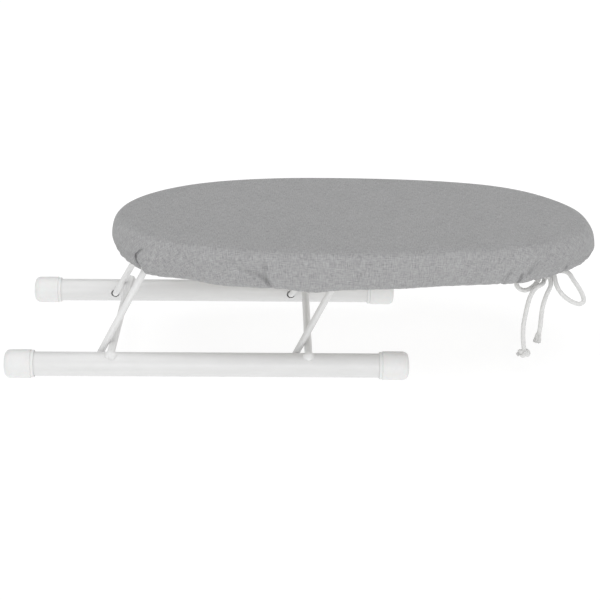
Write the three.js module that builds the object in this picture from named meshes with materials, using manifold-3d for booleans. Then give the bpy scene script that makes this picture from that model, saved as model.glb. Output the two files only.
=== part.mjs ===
// Folding table-top ironing board: an oval board in a drawstring cover, on two wire leg frames
// that swing from a pair of tubular skids. Millimetres, +Z up, +X towards the nose of the board.
// The origin is on the table, midway along the whole length and midway between the skids.
import * as THREE from 'three';
import { mergeVertices } from 'three/addons/utils/BufferGeometryUtils.js';
import Module from 'manifold-3d';

const wasm = await Module();
wasm.setup();

// ---------- Driving dimensions ----------
const gap = 0.3;                                   // between pieces that touch
const skid = { left: -308.5, length: 415, radius: 12.5, wall: 1.2, halfSpacing: 113 };
const cap = { radius: 14.75, length: 31, wall: 2.6, corner: 4.2, bore: 12.85 };
const wire = { radius: 3.5, bend: 8 };
const leg = { link: 126, lean: THREE.MathUtils.degToRad(28.7), footHalf: 96.5, topHalf: 75.5, pinEnd: 108 };
const footX = { left: -215, right: -13 };          // the leg pivots on the skids
const stop = { radius: 4, height: 27.6, halfLength: 120 };    // the cross bars that the legs lean on
const top = { widest: 25.5, heel: 230.6, nose: 283, half: 146, heelPower: 2.2, nosePower: 2.4, z: 145 };
const roll = { heel: 3, nose: 9.5, reach: 14 };    // the ends are rolled down more softly than the sides
const layer = { cover: 1.2, pad: 5.1, core: 9 };
const clip = { halfWidth: 7, thickness: 1.5, reach: 15.5, y: 45, hole: 10.4 };
const screw = { radius: 1.75, hole: 2.15, depth: 6.2, headRadius: 3.6, headHeight: 2.1 };
const cord = { radius: 2.2, sides: 8 };
const hem = { inset: 8.2, height: 111, ease: 6.9, gapFrom: 232, gapTo: 268 };
const round = 32;                                  // facets round a tube or a cap

const skidZ = cap.radius;                          // a flat of each cap lies on the table
const pivot = {                                    // a leg's upper pivot, measured from its foot
  dx: leg.link * Math.sin(leg.lean),
  z: skidZ + leg.link * Math.cos(leg.lean),
};
const coreZ = pivot.z + wire.radius + 0.35;        // underside of the board
const padZ = coreZ + layer.core + gap;
const stopReach = wire.radius + stop.radius + gap;
const stopDx = (stopReach + (stop.height - skidZ) * Math.sin(leg.lean)) / Math.cos(leg.lean);

// ---------- Materials ----------
const colour = (hex, roughness, metalness = 0) =>
  new THREE.MeshStandardMaterial({ color: hex, roughness, metalness });
const enamel = colour(0xe4e4e3, 0.4);
const wireEnamel = colour(0xe8e8e7, 0.4);
const capPlastic = colour(0xededec, 0.5);
const zinc = colour(0xb9bcbf, 0.35, 0.9);
const fibreboard = colour(0xd2cdc3, 0.8);
const felt = colour(0xeae6dc, 0.95);
const heather = colour(0xa3a3a3, 0.9);
const cotton = colour(0xe9e9e7, 0.85);

// ---------- Solids: cutting and joining ----------
function bare(geometry) {
  const copy = geometry.clone();
  copy.deleteAttribute('normal');
  copy.deleteAttribute('uv');
  return mergeVertices(copy, 1e-4);
}

function toSolid(geometry) {
  const g = bare(geometry);
  const mesh = new wasm.Mesh({
    numProp: 3,
    vertProperties: new Float32Array(g.attributes.position.array),
    triVerts: new Uint32Array(g.index.array),
  });
  return new wasm.Manifold(mesh);
}

function toGeometry(solid) {
  const mesh = solid.getMesh();
  const g = new THREE.BufferGeometry();
  g.setAttribute('position', new THREE.BufferAttribute(new Float32Array(mesh.vertProperties), 3));
  g.setIndex(new THREE.BufferAttribute(new Uint32Array(mesh.triVerts), 1));
  g.computeVertexNormals();
  return g;
}

const cut = (body, tools) =>
  toGeometry(tools.reduce((solid, tool) => solid.subtract(toSolid(tool)), toSolid(body)));

// ---------- Solids: simple forms ----------
const AXIS = { x: new THREE.Vector3(1, 0, 0), y: new THREE.Vector3(0, 1, 0), z: new THREE.Vector3(0, 0, 1) };

// A solid of revolution whose axis runs along `axis` from `origin`; profile points are [radius, along].
// A flat, not a ridge, faces straight down when the axis is level.
function turned(profile, axis, origin, sides = round) {
  const flat = 1 / Math.cos(Math.PI / sides);
  const points = profile.map(([r, a]) => new THREE.Vector2(r * flat, a));
  const g = new THREE.LatheGeometry(points, sides, Math.PI / sides);
  const turn = new THREE.Quaternion().setFromUnitVectors(AXIS.y, axis);
  return g.applyQuaternion(turn).translate(...origin);
}

// A plain round cutter along `axis`, from `low` to `high` of its origin.
function drill(radius, low, high, axis, origin, sides) {
  return turned([[0, low], [radius, low], [radius, high], [0, high]], axis, origin, sides);
}

// A round rod with domed ends along Y, used for the stop bars and, a little larger, for their seats.
function domedRod(radius, halfLength, x, z) {
  const dome = [0, 1, 2, 3].map((i) => (i * Math.PI) / 8);
  const end = dome.map((a) => [radius * Math.cos(a), halfLength - radius + radius * Math.sin(a)]);
  const other = end.map(([r, a]) => [r, -a]).reverse();
  const profile = [[0, -halfLength], ...other, ...end, [0, halfLength]];
  return turned(profile, AXIS.y, [x, 0, z], 16);
}

// A curve through given points in even steps of its parameter, so an extrusion has one ring at each point.
class PointPath extends THREE.Curve {
  constructor(points) {
    super();
    this.points = points;
  }
  getPoint(t, target = new THREE.Vector3()) {
    const at = Math.min(Math.max(t, 0), 1) * (this.points.length - 1);
    const i = Math.min(Math.floor(at), this.points.length - 2);
    return target.lerpVectors(this.points[i], this.points[i + 1], at - i);
  }
  getPointAt(u, target) {
    return this.getPoint(u, target);
  }
  getSpacedPoints(divisions) {
    return Array.from({ length: divisions + 1 }, (_, i) => this.getPoint(i / divisions));
  }
  getTangentAt(u, target = new THREE.Vector3()) {
    const step = 0.5 / (this.points.length - 1);
    return target.subVectors(this.getPoint(u + step), this.getPoint(u - step)).normalize();
  }
}

function rod(points, radius, sides) {
  const section = new THREE.Shape();
  for (let i = 0; i <= sides; i++) {
    const a = (2 * Math.PI * i) / sides;
    const [x, y] = [radius * Math.cos(a), radius * Math.sin(a)];
    if (i === 0) section.moveTo(x, y);
    else section.lineTo(x, y);
  }
  const extrudePath = new PointPath(points);
  return new THREE.ExtrudeGeometry(section, { steps: points.length - 1, extrudePath, bevelEnabled: false });
}

// Straight runs between corners, each corner rounded to the bend radius by an arc of a few points.
function bentPath(corners, bend, arcSteps = 5) {
  const out = [corners[0]];
  for (let i = 1; i < corners.length - 1; i++) {
    const inward = corners[i - 1].clone().sub(corners[i]).normalize();
    const outward = corners[i + 1].clone().sub(corners[i]).normalize();
    const half = inward.angleTo(outward) / 2;
    const setback = bend / Math.tan(half);
    const bisector = inward.clone().add(outward).normalize();
    const centre = corners[i].clone().addScaledVector(bisector, bend / Math.sin(half));
    const from = corners[i].clone().addScaledVector(inward, setback).sub(centre);
    const to = corners[i].clone().addScaledVector(outward, setback).sub(centre);
    const sweep = from.angleTo(to);
    for (let k = 0; k <= arcSteps; k++) {
      const a = (sweep * k) / arcSteps;
      const p = from.clone().multiplyScalar(Math.sin(sweep - a)).addScaledVector(to, Math.sin(a));
      out.push(p.divideScalar(Math.sin(sweep)).add(centre));
    }
  }
  out.push(corners[corners.length - 1]);
  return out;
}

// ---------- The oval of the board ----------
// Half of a fuller oval towards the heel and half of a longer one towards the nose,
// joined at the widest place.
function ovalAt(angle) {
  const [c, s] = [Math.cos(angle), Math.sin(angle)];
  const [length, power] = c < 0 ? [top.heel, top.heelPower] : [top.nose, top.nosePower];
  const along = (v) => Math.sign(v) * Math.abs(v) ** (2 / power);
  return new THREE.Vector2(top.widest + length * along(c), top.half * along(s));
}

// Points at even distances round the oval, each with its outward normal.
function ovalRing(count) {
  const fine = 2880;
  const dense = Array.from({ length: fine }, (_, i) => ovalAt((2 * Math.PI * (i + 0.5)) / fine));
  const lengths = dense.map((p, i) => p.distanceTo(dense[(i + 1) % fine]));
  const total = lengths.reduce((a, b) => a + b, 0);
  const ring = [];
  let walked = 0;
  for (let i = 0; i < fine && ring.length < count; i++) {
    while (ring.length < count && walked + lengths[i] > (total * ring.length) / count) {
      const t = ((total * ring.length) / count - walked) / lengths[i];
      const [a, b] = [dense[i], dense[(i + 1) % fine]];
      const d = dense[(i + 2) % fine].clone().sub(dense[(i + fine - 1) % fine]).normalize();
      ring.push({ p: a.clone().lerp(b, t), n: new THREE.Vector2(d.y, -d.x) });
    }
    walked += lengths[i];
  }
  return ring;
}

const ring = ovalRing(72);

// The skirt stands out a little where it passes the left legs.
const legBulge = { x: -164, width: 22 };
const bulgeAt = (x) => Math.exp(-(((x - legBulge.x) / legBulge.width) ** 2));

// How far the rim is rolled down, in millimetres: nothing along the sides, most at the nose.
const smoothStep = (t) => THREE.MathUtils.smoothstep(t, 0.3, 0.95);
const rollAt = (n) => (n.x < 0 ? roll.heel : roll.nose) * smoothStep(Math.abs(n.x));

// One point inset from the oval at a height. `ease` is how far it moves outwards at the legs;
// `fall` and `back` are its shares of the roll, downwards and inwards.
function rimPoint({ p, n }, [inset, z, ease = 0, fall = 0, back = 0]) {
  const d = inset - ease * bulgeAt(p.x) + back * rollAt(n);
  return new THREE.Vector3(p.x - n.x * d, p.y - n.y * d, z - fall * rollAt(n));
}

// A closed solid through a stack of rings; the first and last rings are filled in.
function lofted(levels, around = ring) {
  const count = around.length;
  const positions = [];
  const index = [];
  for (const level of levels) for (const at of around) positions.push(...rimPoint(at, level).toArray());
  for (let k = 0; k < levels.length - 1; k++) {
    for (let i = 0; i < count; i++) {
      const [a, b] = [k * count + i, k * count + ((i + 1) % count)];
      index.push(a, b, a + count, b, b + count, a + count);
    }
  }
  const centre = (level, flip) => {
    const start = level * count;
    const middle = positions.length / 3;
    positions.push(top.widest, 0, levels[level][1]);
    for (let i = 0; i < count; i++) {
      const [a, b] = [start + i, start + ((i + 1) % count)];
      index.push(...(flip ? [middle, b, a] : [middle, a, b]));
    }
  };
  centre(0, true);
  centre(levels.length - 1, false);
  const g = new THREE.BufferGeometry();
  g.setAttribute('position', new THREE.Float32BufferAttribute(positions, 3));
  g.setIndex(index);
  g.computeVertexNormals();
  return g;
}

// ---------- The object ----------
const board = new THREE.Group();

function add(name, geometry, material) {
  const mesh = new THREE.Mesh(geometry, material);
  mesh.name = name;
  board.add(mesh);
}

const sides = { front: -1, rear: 1 };

// Stop bars, laid across both skids in seats cut through the tops of the tubes.
const stopX = { left: footX.left + stopDx, right: footX.right + stopDx };
for (const [end, x] of Object.entries(stopX)) {
  add(`${end}_stop_bar`, domedRod(stop.radius, stop.halfLength, x, stop.height), wireEnamel);
}

// Skid tubes, with a seat for each stop bar and a hole on the inner side for each leg's foot.
const tubeEnd = cap.wall + gap;
const footHole = wire.radius + 1.1;                // room for the bend of the wire as the leg folds
const footHoleReach = 6;                           // through one wall of the tube only
function skidTube(y) {
  const inner = skid.radius - skid.wall;
  const length = skid.length - 2 * tubeEnd;
  const profile = [[inner, 0], [skid.radius, 0], [skid.radius, length], [inner, length], [inner, 0]];
  const tube = turned(profile, AXIS.x, [skid.left + tubeEnd, y, skidZ]);
  const seats = Object.values(stopX).map((x) =>
    domedRod(stop.radius + gap, stop.halfLength + gap, x, stop.height));
  const holes = Object.values(footX).map((x) =>
    drill(footHole, -footHoleReach, footHoleReach, AXIS.y, [x, y - Math.sign(y) * skid.radius, skidZ], 16));
  return cut(tube, [...seats, ...holes]);
}

// End caps: closed sleeves with a rounded outer edge and a soft lip where they meet the tube.
function endCap(x, direction, y) {
  const { radius, length, wall, corner, bore } = cap;
  const arc = [0, 1, 2, 3, 4].map((i) => (i * Math.PI) / 8);
  const edge = arc.map((a) => [radius - corner + corner * Math.sin(a), corner - corner * Math.cos(a)]);
  const lip = [[radius, length - 1.6], [radius - 0.5, length - 0.4], [radius - 1.1, length]];
  const profile = [[0, 0], ...edge, ...lip, [bore, length], [bore, wall], [0, wall]];
  return turned(profile, AXIS.x.clone().multiplyScalar(direction), [x, y, skidZ]);
}

for (const [side, sign] of Object.entries(sides)) {
  const y = sign * skid.halfSpacing;
  add(`${side}_skid_tube`, skidTube(y), enamel);
  add(`${side}_left_cap`, endCap(skid.left, 1, y), capPlastic);
  add(`${side}_right_cap`, endCap(skid.left + skid.length, -1, y), capPlastic);
}

// Leg frames: one bent wire each, its two feet turned outwards into the skids.
// The frame is drawn flat, up the lean and across, then leaned over its feet.
function legFrame(x) {
  const flat = [[0, -leg.pinEnd], [0, -leg.footHalf], [leg.link, -leg.topHalf],
    [leg.link, leg.topHalf], [0, leg.footHalf], [0, leg.pinEnd]];
  const corners = flat.map(([up, y]) => new THREE.Vector3(0, y, up));
  const g = rod(bentPath(corners, wire.bend), wire.radius, 12);
  return g.applyMatrix4(new THREE.Matrix4().makeRotationY(leg.lean)).translate(x, 0, skidZ);
}
add('left_leg_frame', legFrame(footX.left), wireEnamel);
add('right_leg_frame', legFrame(footX.right), wireEnamel);

// Saddle clips hold each leg frame's top bar under the board, with running clearance.
const clipTop = coreZ - gap;
function saddleClip(x, y) {
  const drop = clipTop - pivot.z;
  const [inner, outer] = [wire.radius + 0.4, wire.radius + 0.4 + clip.thickness];
  const flange = drop - clip.thickness;
  const s = new THREE.Shape();
  s.moveTo(-clip.reach, drop);
  s.lineTo(-clip.reach, flange);
  s.lineTo(-outer, flange);
  s.lineTo(-outer, 0);
  s.absarc(0, 0, outer, Math.PI, 2 * Math.PI, false);
  s.lineTo(outer, flange);
  s.lineTo(clip.reach, flange);
  s.lineTo(clip.reach, drop);
  s.lineTo(inner, drop);
  s.lineTo(inner, 0);
  s.absarc(0, 0, inner, 2 * Math.PI, Math.PI, true);
  s.lineTo(-inner, drop);
  s.closePath();
  const depth = 2 * clip.halfWidth;
  const g = new THREE.ExtrudeGeometry(s, { depth, bevelEnabled: false, curveSegments: 10 });
  g.rotateX(Math.PI / 2).translate(x, y + clip.halfWidth, pivot.z);
  const drills = [-1, 1].map((side) =>
    drill(screw.hole, -4, 4, AXIS.z, [x + side * clip.hole, y, clipTop], 12));
  return cut(g, drills);
}

// Pan-head screws with a cross recess, driven up into the board.
function clipScrew(x, y) {
  const seat = clipTop - clip.thickness - gap;
  const { radius, depth, headRadius: head, headHeight: high } = screw;
  const rise = coreZ - seat + depth;
  const profile = [[0, -high], [head * 0.55, -high * 0.92], [head * 0.88, -high * 0.6], [head, -0.5],
    [head, 0], [radius, 0], [radius, rise - 1.8], [0, rise]];
  const body = turned(profile, AXIS.z, [x, y, seat], 12);
  const arm = () => new THREE.BoxGeometry(3.6, 0.9, 2).translate(x, y, seat - high);
  const across = arm().translate(-x, -y, 0).rotateZ(Math.PI / 2).translate(x, y, 0);
  return cut(body, [arm(), across]);
}

const clipX = { left: footX.left + pivot.dx, right: footX.right + pivot.dx };
const screwSpots = [];
for (const [end, x] of Object.entries(clipX)) {
  for (const [side, sign] of Object.entries(sides)) {
    const y = sign * clip.y;
    add(`${end}_${side}_clip`, saddleClip(x, y), zinc);
    for (const [name, offset] of [['heel', -clip.hole], ['nose', clip.hole]]) {
      add(`${end}_${side}_clip_screw_${name}_side`, clipScrew(x + offset, y), zinc);
      screwSpots.push([x + offset, y]);
    }
  }
}

// The board itself: fibreboard, with a blind pilot hole for each screw.
const coreInset = 5.5;
const pilots = screwSpots.map(([x, y]) =>
  drill(screw.radius + gap, -1, screw.depth + 0.6, AXIS.z, [x, y, coreZ], 12));
const coreRings = [[coreInset, coreZ], [coreInset, coreZ + 3], [coreInset, coreZ + layer.core, 0, 0, 0.7]];
const coreSolid = lofted(coreRings);
add('board_core', cut(coreSolid, pilots), fibreboard);

// Felt pad over the board, with a rounded upper edge.
const padTop = padZ + layer.pad;
const padRings = [[5, padZ, 0, 0, 1], [7, padTop - 2.5, 0, 0.14, 1], [10.5, padTop - 0.8, 0, 0.21, 1.25],
  [16, padTop, 0, 0.25, 1.5], [45, padTop, 0, 0.06]];
add('felt_pad', lofted(padRings), felt);

// The cover: flat on top, a rounded shoulder, a skirt and a hem turned inwards underneath.
const coverOut = [[42, 0], [26, 0], [16, 0], [9, 0.7], [5, 2.8], [2, 6.5, 0.5], [0.4, 13, 2.5],
  [0, 21, 5], [0.5, 30, 5], [2.6, 35.5, 5], [6.5, 38.2, 7], [12, 38.5, 10.4]];
const coverIn = [[12, 37.2, 10.4], [7, 36.9, 7], [4, 34.7, 5], [2, 29.5, 5], [1.3, 21, 5], [1.8, 13.5, 2.5],
  [3.3, 7.2, 0.5], [6, 3.8], [10, 1.9], [16, layer.cover], [26, layer.cover], [42, layer.cover]];
const coverRings = [...coverOut, ...coverIn].map(([inset, drop, ease = 0]) => {
  const fall = Math.exp(-inset / roll.reach) * (1 - THREE.MathUtils.smoothstep(drop, 13, 36));
  return [inset, top.z - drop, ease, fall];
});
add('cover', lofted(coverRings.reverse()), heather);

// ---------- Drawstring ----------
// It runs inside the hem all the way round, and its two ends come out to a bow under the nose.
const vectors = (list) => list.map(([x, y, z]) => new THREE.Vector3(x, y, z));

function hemRun() {
  const onFront = (at) => at.p.y < 0;
  const inGap = (at) => onFront(at) && at.p.x > hem.gapFrom && at.p.x < hem.gapTo;
  const first = ring.findIndex((at, i) => inGap(ring[(i + ring.length - 1) % ring.length]) && !inGap(at));
  const ordered = [...ring.slice(first), ...ring.slice(0, first)].filter((at) => !inGap(at));
  return ordered.map((at) => rimPoint(at, [hem.inset, hem.height, hem.ease]));
}
const hemPoints = hemRun();
add('hem_drawstring', rod(hemPoints, cord.radius, cord.sides), cotton);

// The bow's knot, and each strand that leaves it. The strands are laid by hand.
const knot = { at: [249, -77.5, 104.5], size: [7.5, 5.5, 6] };
const [hemRight, hemLeft] = [hemPoints[0], hemPoints[hemPoints.length - 1]];
const strands = {
  left_lead: [[238, -95.5, 112.2], [242.5, -86.5, 112.2], [243.9, -80, 109.8]],
  right_lead: [[262.5, -79.5, 112.3], [257.8, -79.3, 111.8], [254.2, -79.7, 109.8]],
  left_loop: [[241.9, -81.2, 102.9], [239.2, -84.6, 99.8], [235, -88.2, 95.2], [229.5, -91, 91.8],
    [223.5, -92.3, 90.6], [217.8, -92, 93.2], [215.6, -89.5, 98], [218.5, -86, 102.4],
    [226, -81.5, 104.3], [235, -77, 105.4], [241.2, -75.1, 106.4]],
  right_loop: [[256.1, -80.9, 102], [257.4, -84.8, 96], [260.5, -88, 89.5], [266.5, -90, 83],
    [275.5, -89.5, 77], [283, -88, 74.5], [287.2, -86, 77], [286, -84.5, 83], [281.4, -82.5, 91],
    [276.4, -79.2, 97.6], [272.2, -75.6, 102.2], [266.6, -73.2, 103.8], [260.8, -73.6, 104.4],
    [256.9, -75.1, 106.2]],
  left_tail: [[246, -80.2, 98], [243.6, -87, 96.3], [239.8, -94, 97], [235, -98.2, 95.6],
    [231, -99.5, 90.5], [228, -99.5, 81.8], [225.6, -99.2, 67], [224.3, -98.5, 52.5], [225, -98, 38.5],
    [226.5, -98, 28.8]],
  right_tail: [[252.5, -79.6, 98], [252.2, -83.5, 92.3], [248.2, -87.5, 84.5], [244.8, -90, 74],
    [243.6, -90.5, 62.5], [243.2, -90.5, 50], [242.3, -90.5, 43]],
};
add('bow_knot', new THREE.SphereGeometry(1, 16, 10).rotateX(Math.PI / 2).scale(...knot.size)
  .translate(...knot.at), cotton);

const strandSteps = {
  left_lead: 5, right_lead: 5, left_loop: 20, right_loop: 24, left_tail: 14, right_tail: 10,
};
const leadStart = {
  left_lead: hemLeft.clone().add(new THREE.Vector3(1.2, 0.9, 0.4)),
  right_lead: hemRight.clone().add(new THREE.Vector3(-1.2, -0.6, 0.4)),
};
for (const [name, list] of Object.entries(strands)) {
  const points = leadStart[name] ? [leadStart[name], ...vectors(list)] : vectors(list);
  const smooth = new THREE.CatmullRomCurve3(points).getSpacedPoints(strandSteps[name]);
  add(`bow_${name}`, rod(smooth, cord.radius, cord.sides), cotton);
}

// The knot that ends the left tail, and the frayed tuft that ends the right one.
const endKnot = { at: [226.9, -98, 23.6], size: [7, 5.5, 4.3] };
const tuft = { top: [242.2, -90.5, 42.3], length: 9.5, from: 2.3, to: 3.9 };
const tuftAlong = new THREE.Vector3(-0.14, 0, -1).normalize();
add('left_tail_knot', new THREE.SphereGeometry(1, 14, 8).rotateX(Math.PI / 2).scale(...endKnot.size)
  .translate(...endKnot.at), cotton);
const tuftProfile = [[0, 0], [tuft.from, 0], [tuft.to, tuft.length - 1], [tuft.to - 0.6, tuft.length],
  [0, tuft.length]];
add('right_tail_tuft', turned(tuftProfile, tuftAlong, tuft.top, 10), cotton);

export default board;
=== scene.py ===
"""Looks of a folding table-top ironing board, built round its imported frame.

Metres, in the part's own frame: +X towards the nose of the board, +Y towards the rear skid, +Z up,
and the table at z = 0. The tables of section points are in millimetres and pass through mm().
"""
import math

import bmesh
import bpy
import numpy as np
from mathutils import Matrix, Vector


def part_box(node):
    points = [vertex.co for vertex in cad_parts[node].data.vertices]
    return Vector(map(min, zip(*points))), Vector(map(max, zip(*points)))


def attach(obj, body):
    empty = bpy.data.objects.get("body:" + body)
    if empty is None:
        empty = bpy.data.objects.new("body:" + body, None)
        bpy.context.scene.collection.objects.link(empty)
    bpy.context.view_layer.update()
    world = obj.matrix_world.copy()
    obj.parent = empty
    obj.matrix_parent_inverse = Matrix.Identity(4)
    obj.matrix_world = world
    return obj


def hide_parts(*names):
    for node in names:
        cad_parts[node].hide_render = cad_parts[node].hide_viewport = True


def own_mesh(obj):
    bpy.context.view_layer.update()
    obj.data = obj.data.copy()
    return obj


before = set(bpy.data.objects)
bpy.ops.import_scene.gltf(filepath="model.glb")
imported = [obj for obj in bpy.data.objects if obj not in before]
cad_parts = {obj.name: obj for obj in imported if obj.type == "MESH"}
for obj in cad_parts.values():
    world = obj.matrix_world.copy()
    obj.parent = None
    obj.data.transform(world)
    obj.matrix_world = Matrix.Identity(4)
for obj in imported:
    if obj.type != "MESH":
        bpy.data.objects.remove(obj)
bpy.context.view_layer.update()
MM = 0.001


def mm(values):
    return np.array(values, float) * MM


# ---------- Camera ----------
CAMERA_PLACE = (-0.036, -1.635, 0.640)
PITCH, YAW, ROLL = (math.radians(a) for a in (20.0, 1.11, 0.76))
LENS_MM, SENSOR_MM = 96, 36


def make_camera():
    """Looks along +Y: pitched down, turned a little towards +X, and rolled."""
    forward = Vector((math.sin(YAW) * math.cos(PITCH), math.cos(YAW) * math.cos(PITCH), -math.sin(PITCH)))
    level = Vector((math.cos(YAW), -math.sin(YAW), 0))
    upward = level.cross(forward)
    right = level * math.cos(ROLL) + upward * math.sin(ROLL)
    up = upward * math.cos(ROLL) - level * math.sin(ROLL)
    data = bpy.data.cameras.new("camera")
    data.lens, data.sensor_width = LENS_MM, SENSOR_MM
    camera = bpy.data.objects.new("camera", data)
    camera.matrix_world = Matrix((right, up, -forward)).transposed().to_4x4()
    camera.location = CAMERA_PLACE
    bpy.context.scene.collection.objects.link(camera)
    bpy.context.scene.camera = camera


make_camera()

# ---------- Meshes ----------


def mesh_object(name, points, faces, body, slot, material, replaces=()):
    """A new piece in the part's frame that rides on a body and stands for the CAD nodes it replaces."""
    mesh = bpy.data.meshes.new(name)
    mesh.from_pydata([tuple(p) for p in points], [], faces)
    mesh.validate()
    mesh.shade_smooth()
    piece = bpy.data.objects.new(name, mesh)
    bpy.context.scene.collection.objects.link(piece)
    mesh.materials.append(material)
    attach(piece, body)
    if replaces:
        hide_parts(*replaces)
    return piece


def grid_faces(rows, columns):
    """Quads between rows of points, each row a closed loop."""
    quads = []
    for r in range(rows - 1):
        for c in range(columns):
            a, b = r * columns + c, r * columns + (c + 1) % columns
            quads.append((a, b, b + columns, a + columns))
    return quads


def unit(vectors):
    return vectors / np.maximum(np.linalg.norm(vectors, axis=-1, keepdims=True), 1e-12)


def walk(line):
    """The distance walked along a line at each of its points."""
    return np.concatenate([[0], np.cumsum(np.linalg.norm(np.diff(line, axis=0), axis=1))])


def ramp(value, start, end):
    """A smooth step from 0 at the start to 1 at the end."""
    t = np.clip((value - start) / (end - start), 0, 1)
    return t * t * (3 - 2 * t)


CURVE_POINTS = 24


def smooth_line(points, step):
    """A Catmull-Rom curve through the points, as new points about one step apart."""
    p = np.array(points, float)
    p = np.vstack([2 * p[0] - p[1], p, 2 * p[-1] - p[-2]])
    fine = []
    for i in range(1, len(p) - 2):
        a, b, c, d = p[i - 1 : i + 3]
        t = np.linspace(0, 1, CURVE_POINTS, endpoint=False)[:, None]
        fine.append(0.5 * (2 * b + (c - a) * t + (2 * a - 5 * b + 4 * c - d) * t**2
                           + (3 * b - a - 3 * c + d) * t**3))
    fine = np.vstack([*fine, p[-2:-1]])
    return evenly(fine, step)


def evenly(line, step):
    """The same line with its points about one step apart."""
    along = walk(line)
    at = np.linspace(0, along[-1], max(2, round(along[-1] / step) + 1))
    return np.stack([np.interp(at, along, line[:, k]) for k in range(line.shape[1])], axis=1)


def side_vectors(line):
    """Two vectors square to the line at each point, turning as little as they can along it."""
    tangent = unit(np.gradient(line, axis=0))
    side = np.cross(tangent[0], (0.3, 0.2, 0.9))
    first = []
    for t in tangent:
        side = side - t * (side @ t)
        side = side / np.linalg.norm(side)
        first.append(side)
    first = np.array(first)
    return first, np.cross(tangent, first)


def tube(line, radius, sides, relief=None):
    """Points and faces of a closed tube along a line; relief(along, angle) adds to its radius."""
    first, second = side_vectors(line)
    along = walk(line)
    angle = np.linspace(0, 2 * math.pi, sides, endpoint=False)
    reach = np.broadcast_to(np.asarray(radius, float).reshape(-1, 1), (len(line), sides)).copy()
    if relief:
        reach = reach + relief(along[:, None], angle[None, :])
    cosine, sine = (turn(angle)[None, :, None] for turn in (np.cos, np.sin))
    ring = first[:, None] * cosine + second[:, None] * sine
    points = (line[:, None] + ring * reach[:, :, None]).reshape(-1, 3)
    count = len(points)
    faces = grid_faces(len(line), sides)
    faces += [(count, (i + 1) % sides, i) for i in range(sides)]
    base = (len(line) - 1) * sides
    faces += [(count + 1, base + i, base + (i + 1) % sides) for i in range(sides)]
    return np.vstack([points, line[:1], line[-1:]]), faces


def turned(profile, place, direction, sides=96):
    """A solid of revolution along X (direction 1) or against it (-1), from points (along, radius)."""
    angle = np.linspace(0, 2 * math.pi, sides, endpoint=False)
    points = [(a, r * math.cos(t), r * math.sin(t)) for a, r in profile for t in angle]
    points = np.array(points) * (direction, 1, direction) + np.array(place)
    return points, grid_faces(len(profile), sides)


def turned_across(profile, place, sides=32):
    """A solid of revolution along Y, merged."""
    points, faces = turned(profile, (0, 0, 0), 1, sides)
    return merged(points[:, [1, 0, 2]] * (-1, 1, 1) + place, faces)


def arc(centre, radii, start, end, steps):
    """Points on part of an ellipse, as (along, radius); the start and end are in degrees."""
    turns = np.radians(np.linspace(start, end, steps + 1))
    return [(centre[0] + radii[0] * math.cos(t), centre[1] + radii[1] * math.sin(t)) for t in turns]


def merged(points, faces):
    """The same mesh with points that coincide made one and faces with no area left out."""
    work = bmesh.new()
    verts = [work.verts.new(p) for p in points]
    for f in faces:
        work.faces.new([verts[i] for i in f])
    bmesh.ops.remove_doubles(work, verts=work.verts, dist=1e-7)
    bmesh.ops.dissolve_degenerate(work, edges=work.edges, dist=1e-8)
    bmesh.ops.recalc_face_normals(work, faces=work.faces)
    return taken(work)


def taken(work):
    """The points and faces of a mesh in work, which is then freed."""
    work.verts.index_update()
    shape = [tuple(v.co) for v in work.verts], [[v.index for v in f.verts] for f in work.faces]
    work.free()
    return shape


def together(shapes):
    """The points and faces of several shapes as those of one."""
    all_points, all_faces, start = [], [], 0
    for points, faces in shapes:
        all_points.append(points)
        all_faces += [tuple(i + start for i in f) for f in faces]
        start += len(points)
    return np.vstack(all_points), all_faces


def cut(piece, cutters):
    """Takes each cutter's shape, a pair of points and faces, out of a piece."""
    for points, faces in cutters:
        mesh = bpy.data.meshes.new("cutter")
        mesh.from_pydata([tuple(p) for p in points], [], faces)
        tool = bpy.data.objects.new("cutter", mesh)
        bpy.context.scene.collection.objects.link(tool)
        step = piece.modifiers.new("cut", "BOOLEAN")
        step.operation, step.object, step.solver = "DIFFERENCE", tool, "EXACT"
        with bpy.context.temp_override(object=piece, active_object=piece):
            bpy.ops.object.modifier_apply(modifier=step.name)
        bpy.data.objects.remove(tool)


def crisp(piece, degrees=35):
    """Smooth shading that stops at edges sharper than this angle."""
    piece.data.set_sharp_from_angle(angle=math.radians(degrees))


# ---------- Materials ----------
CLOTH_DARK, CLOTH_LIGHT = (0.21, 0.21, 0.213), (0.49, 0.49, 0.493)
TONE_SPREAD = 0.72
# Streaks in a metre of cloth, along a thread and across the threads.
YARN_STREAKS, SLUB_STREAKS = (110, 1500), (190, 900)
YARN_PITCH = 0.00055
TUBE_WHITE, TUBE_ROUGHNESS = (0.70, 0.70, 0.698), 0.36
WIRE_WHITE, WIRE_ROUGHNESS = (0.745, 0.745, 0.743), 0.34
PLASTIC = (0.745, 0.745, 0.741)
COTTON = (0.725, 0.725, 0.718)
ZINC_DULL, ZINC_BRIGHT = (0.52, 0.53, 0.54), (0.7, 0.705, 0.7)
BOARD_DARK, BOARD_LIGHT, BOARD_STAIN = (0.60, 0.585, 0.55), (0.74, 0.73, 0.70), (0.62, 0.60, 0.56)
FELT_DARK, FELT_LIGHT = (0.56, 0.54, 0.49), (0.76, 0.745, 0.70)


# The part of the span from 0 to 1 that most of a noise falls in.
NOISE_SPAN = (0.3, 0.7)
RANGE_SOCKETS = ("From Min", "From Max", "To Min", "To Max")


def darker(colour, share):
    return [part * share for part in colour]


def rgba(value):
    """A colour's four values; a socket that gives one is left as it is."""
    return value if isinstance(value, bpy.types.NodeSocket) else (*value, 1.0)


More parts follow.
